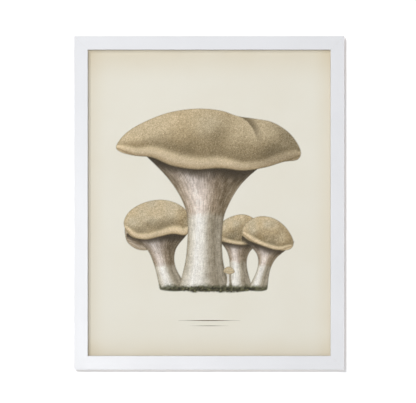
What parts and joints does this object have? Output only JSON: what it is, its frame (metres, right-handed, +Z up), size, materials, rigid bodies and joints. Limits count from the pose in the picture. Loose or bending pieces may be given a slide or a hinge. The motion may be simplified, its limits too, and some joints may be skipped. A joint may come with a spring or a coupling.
{
  "type": "framed botanical print",
  "caption": "White square-profile wood picture frame with glazing, a cream botanical print of a mushroom group, a backed stack and D-ring hangers.",
  "frame": {"origin": "on the wall plane, midway between the points where the two hooks bear in the D-rings", "axes": "+X to the right seen from the front, +Y from the frame's face into the wall, +Z up"},
  "size_m": [0.435, 0.026, 0.537],
  "materials": {
    "white_moulding": "satin white paint on wood",
    "clear_glazing": "clear, polished",
    "aged_paper": "matte, aged cream, printed",
    "white_card": "matte",
    "foam_board": "matte",
    "hardboard": "bare hardboard, smooth face",
    "nickel_steel": "nickel plated",
    "plain_steel": "plain rolled steel",
    "black_rubber": "matte"
  },
  "bodies": {
    "frame": {"top_rail": "white_moulding", "bottom_rail": "white_moulding", "left_stile": "white_moulding", "right_stile": "white_moulding", "glazing": "clear_glazing", "print_sheet": "aged_paper", "mount_board": "white_card", "filler_board": "foam_board", "backing_board": "hardboard", "turn_button_screw_top_left": "nickel_steel", "turn_button_screw_top_right": "nickel_steel", "turn_button_screw_bottom_left": "nickel_steel", "turn_button_screw_bottom_right": "nickel_steel", "turn_button_screw_left_upper": "nickel_steel", "turn_button_screw_left_lower": "nickel_steel", "turn_button_screw_right_upper": "nickel_steel", "turn_button_screw_right_lower": "nickel_steel", "hanger_strap_left": "nickel_steel", "hanger_screw_left_upper": "nickel_steel", "hanger_screw_left_lower": "nickel_steel", "hanger_strap_right": "nickel_steel", "hanger_screw_right_upper": "nickel_steel", "hanger_screw_right_lower": "nickel_steel", "v_nail_bottom_left_outer": "plain_steel", "v_nail_bottom_left_inner": "plain_steel", "v_nail_top_left_outer": "plain_steel", "v_nail_top_left_inner": "plain_steel", "v_nail_top_right_outer": "plain_steel", "v_nail_top_right_inner": "plain_steel", "v_nail_bottom_right_outer": "plain_steel", "v_nail_bottom_right_inner": "plain_steel", "bumper_left": "black_rubber", "bumper_right": "black_rubber"},
    "turn_button_top_left": {"turn_button_top_left": "nickel_steel"},
    "turn_button_top_right": {"turn_button_top_right": "nickel_steel"},
    "turn_button_bottom_left": {"turn_button_bottom_left": "nickel_steel"},
    "turn_button_bottom_right": {"turn_button_bottom_right": "nickel_steel"},
    "turn_button_left_upper": {"turn_button_left_upper": "nickel_steel"},
    "turn_button_left_lower": {"turn_button_left_lower": "nickel_steel"},
    "turn_button_right_upper": {"turn_button_right_upper": "nickel_steel"},
    "turn_button_right_lower": {"turn_button_right_lower": "nickel_steel"},
    "hanger_ring_left": {"hanger_ring_left": "nickel_steel"},
    "hanger_ring_right": {"hanger_ring_right": "nickel_steel"}
  },
  "joints": [
    {"name": "swivel_top_left", "type": "hinge", "parent": "frame", "child": "turn_button_top_left", "pos_m": [-0.11, -0.0054, 0.09325], "axis": [0, 1, 0], "continuous": true},
    {"name": "swivel_top_right", "type": "hinge", "parent": "frame", "child": "turn_button_top_right", "pos_m": [0.11, -0.0054, 0.09325], "axis": [0, 1, 0], "continuous": true},
    {"name": "swivel_bottom_left", "type": "hinge", "parent": "frame", "child": "turn_button_bottom_left", "pos_m": [-0.11, -0.0054, -0.43025], "axis": [0, 1, 0], "continuous": true},
    {"name": "swivel_bottom_right", "type": "hinge", "parent": "frame", "child": "turn_button_bottom_right", "pos_m": [0.11, -0.0054, -0.43025], "axis": [0, 1, 0], "continuous": true},
    {"name": "swivel_left_upper", "type": "hinge", "parent": "frame", "child": "turn_button_left_upper", "pos_m": [-0.21075, -0.0054, -0.0785], "axis": [0, 1, 0], "continuous": true},
    {"name": "swivel_left_lower", "type": "hinge", "parent": "frame", "child": "turn_button_left_lower", "pos_m": [-0.21075, -0.0054, -0.2585], "axis": [0, 1, 0], "continuous": true},
    {"name": "swivel_right_upper", "type": "hinge", "parent": "frame", "child": "turn_button_right_upper", "pos_m": [0.21075, -0.0054, -0.0785], "axis": [0, 1, 0], "continuous": true},
    {"name": "swivel_right_lower", "type": "hinge", "parent": "frame", "child": "turn_button_right_lower", "pos_m": [0.21075, -0.0054, -0.2585], "axis": [0, 1, 0], "continuous": true},
    {"name": "ring_swing_left", "type": "hinge", "parent": "frame", "child": "hanger_ring_left", "pos_m": [-0.2095, -0.0037, -0.01278], "axis": [-1, 0, 0], "range_deg": [0, 180]},
    {"name": "ring_swing_right", "type": "hinge", "parent": "frame", "child": "hanger_ring_right", "pos_m": [0.2095, -0.0037, -0.01278], "axis": [-1, 0, 0], "range_deg": [0, 180]}
  ]
}
